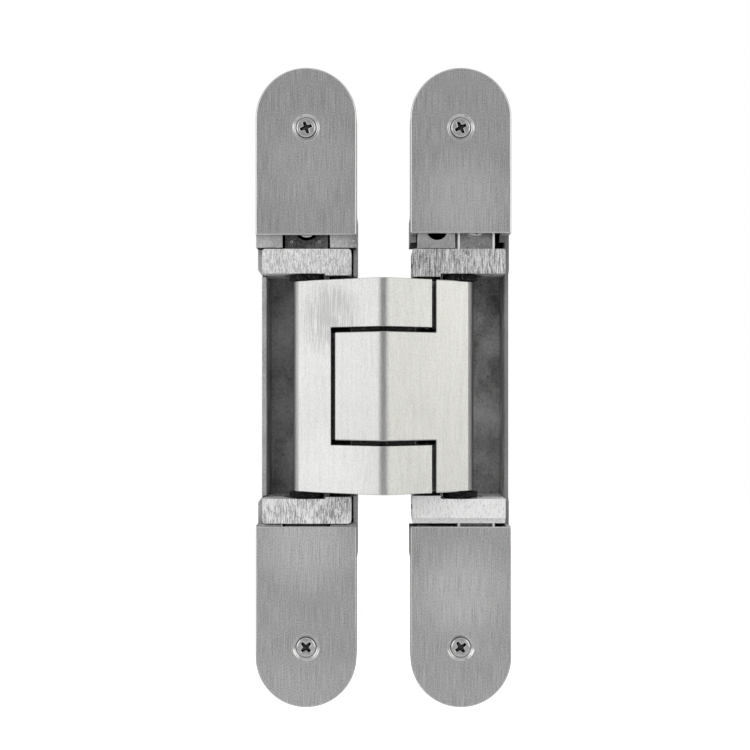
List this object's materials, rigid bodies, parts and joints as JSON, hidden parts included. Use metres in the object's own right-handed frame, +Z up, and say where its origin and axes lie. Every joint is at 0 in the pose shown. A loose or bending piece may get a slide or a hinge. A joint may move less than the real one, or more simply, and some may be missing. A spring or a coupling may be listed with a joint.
{
  "type": "concealed door hinge",
  "caption": "Concealed door hinge, open flat: let-in leaves with round-ended cover plates, joined by crossed cranked arms that fold away between adjustable end blocks.",
  "frame": {"origin": "middle of the frame leaf's back face, which rests on the floor of its mortise", "axes": "+Z up along the pivots and the leaves' length, +Y into the wood, +X from the frame leaf to the door leaf when open flat"},
  "size_m": [0.076, 0.0477, 0.19],
  "materials": {
    "cover_plate": "brushed along the leaf",
    "bright_screw": "bright plated",
    "adjusting_screw": "plated",
    "housing_casting": "grey lacquered zinc casting",
    "end_block": "light grey casting with coarse streaks",
    "outer_arm": "satin nickel plate",
    "inner_arm": "satin nickel plate",
    "steel_pin": "ground steel",
    "height_slide": "grey casting",
    "black_nylon": "black nylon"
  },
  "bodies": {
    "left_leaf": {"left_housing": "housing_casting", "left_upper_cover": "cover_plate", "left_lower_cover": "cover_plate", "left_upper_cover_screw": "bright_screw", "left_lower_cover_screw": "bright_screw"},
    "left_carrier": {"left_upper_block": "end_block", "left_lower_block": "end_block", "left_pivot_pin": "steel_pin", "left_upper_spacer": "black_nylon", "left_lower_spacer": "black_nylon", "left_upper_gap_screw": "adjusting_screw", "left_lower_gap_screw": "adjusting_screw"},
    "inner_arm": {"inner_arm": "inner_arm", "right_slide_pin": "steel_pin", "right_upper_roller": "black_nylon", "right_lower_roller": "black_nylon"},
    "outer_arm": {"outer_arm": "outer_arm", "centre_pin": "steel_pin", "left_slide_pin": "steel_pin", "upper_centre_washer": "black_nylon", "lower_centre_washer": "black_nylon", "left_upper_roller": "black_nylon", "left_lower_roller": "black_nylon"},
    "right_carrier": {"right_upper_block": "end_block", "right_lower_block": "end_block", "right_pivot_pin": "steel_pin", "right_spacer": "black_nylon", "right_upper_pivot_washer": "black_nylon", "right_lower_pivot_washer": "black_nylon", "right_upper_depth_screw": "adjusting_screw", "right_lower_depth_screw": "adjusting_screw"},
    "right_adjuster": {"right_upper_height_slide": "height_slide", "right_lower_height_slide": "height_slide"},
    "right_leaf": {"right_housing": "housing_casting", "right_upper_cover": "cover_plate", "right_lower_cover": "cover_plate", "right_upper_cover_screw": "bright_screw", "right_lower_cover_screw": "bright_screw"}
  },
  "joints": [
    {"name": "gap_adjust", "type": "slide", "parent": "left_leaf", "child": "left_carrier", "axis": [0, 1, 0], "range_m": [-0.0015, 0.0015]},
    {"name": "frame_fold", "type": "hinge", "parent": "left_carrier", "child": "inner_arm", "pos_m": [0.01004, -0.02665, 0.0007], "axis": [0, 0, -1], "range_deg": [0, 104.04]},
    {"name": "centre_fold", "type": "hinge", "parent": "inner_arm", "child": "outer_arm", "pos_m": [0.023, -0.042, 0.0007], "axis": [0, 0, -1], "range_deg": [-28.2, 0]},
    {"name": "door_fold", "type": "hinge", "parent": "outer_arm", "child": "right_carrier", "pos_m": [0.03596, -0.02665, 0.0007], "axis": [0, 0, -1], "range_deg": [0, 104.2]},
    {"name": "depth_adjust", "type": "slide", "parent": "right_carrier", "child": "right_adjuster", "axis": [1, 0, 0], "range_m": [-0.0002, 0.0008]},
    {"name": "height_adjust", "type": "slide", "parent": "right_adjuster", "child": "right_leaf", "axis": [0, 0, 1], "range_m": [-0.002, 0.002]}
  ],
  "couplings": [
    {"joint": "centre_fold", "follows": "frame_fold", "ratio": -0.26997},
    {"joint": "door_fold", "follows": "frame_fold", "ratio": 1}
  ]
}
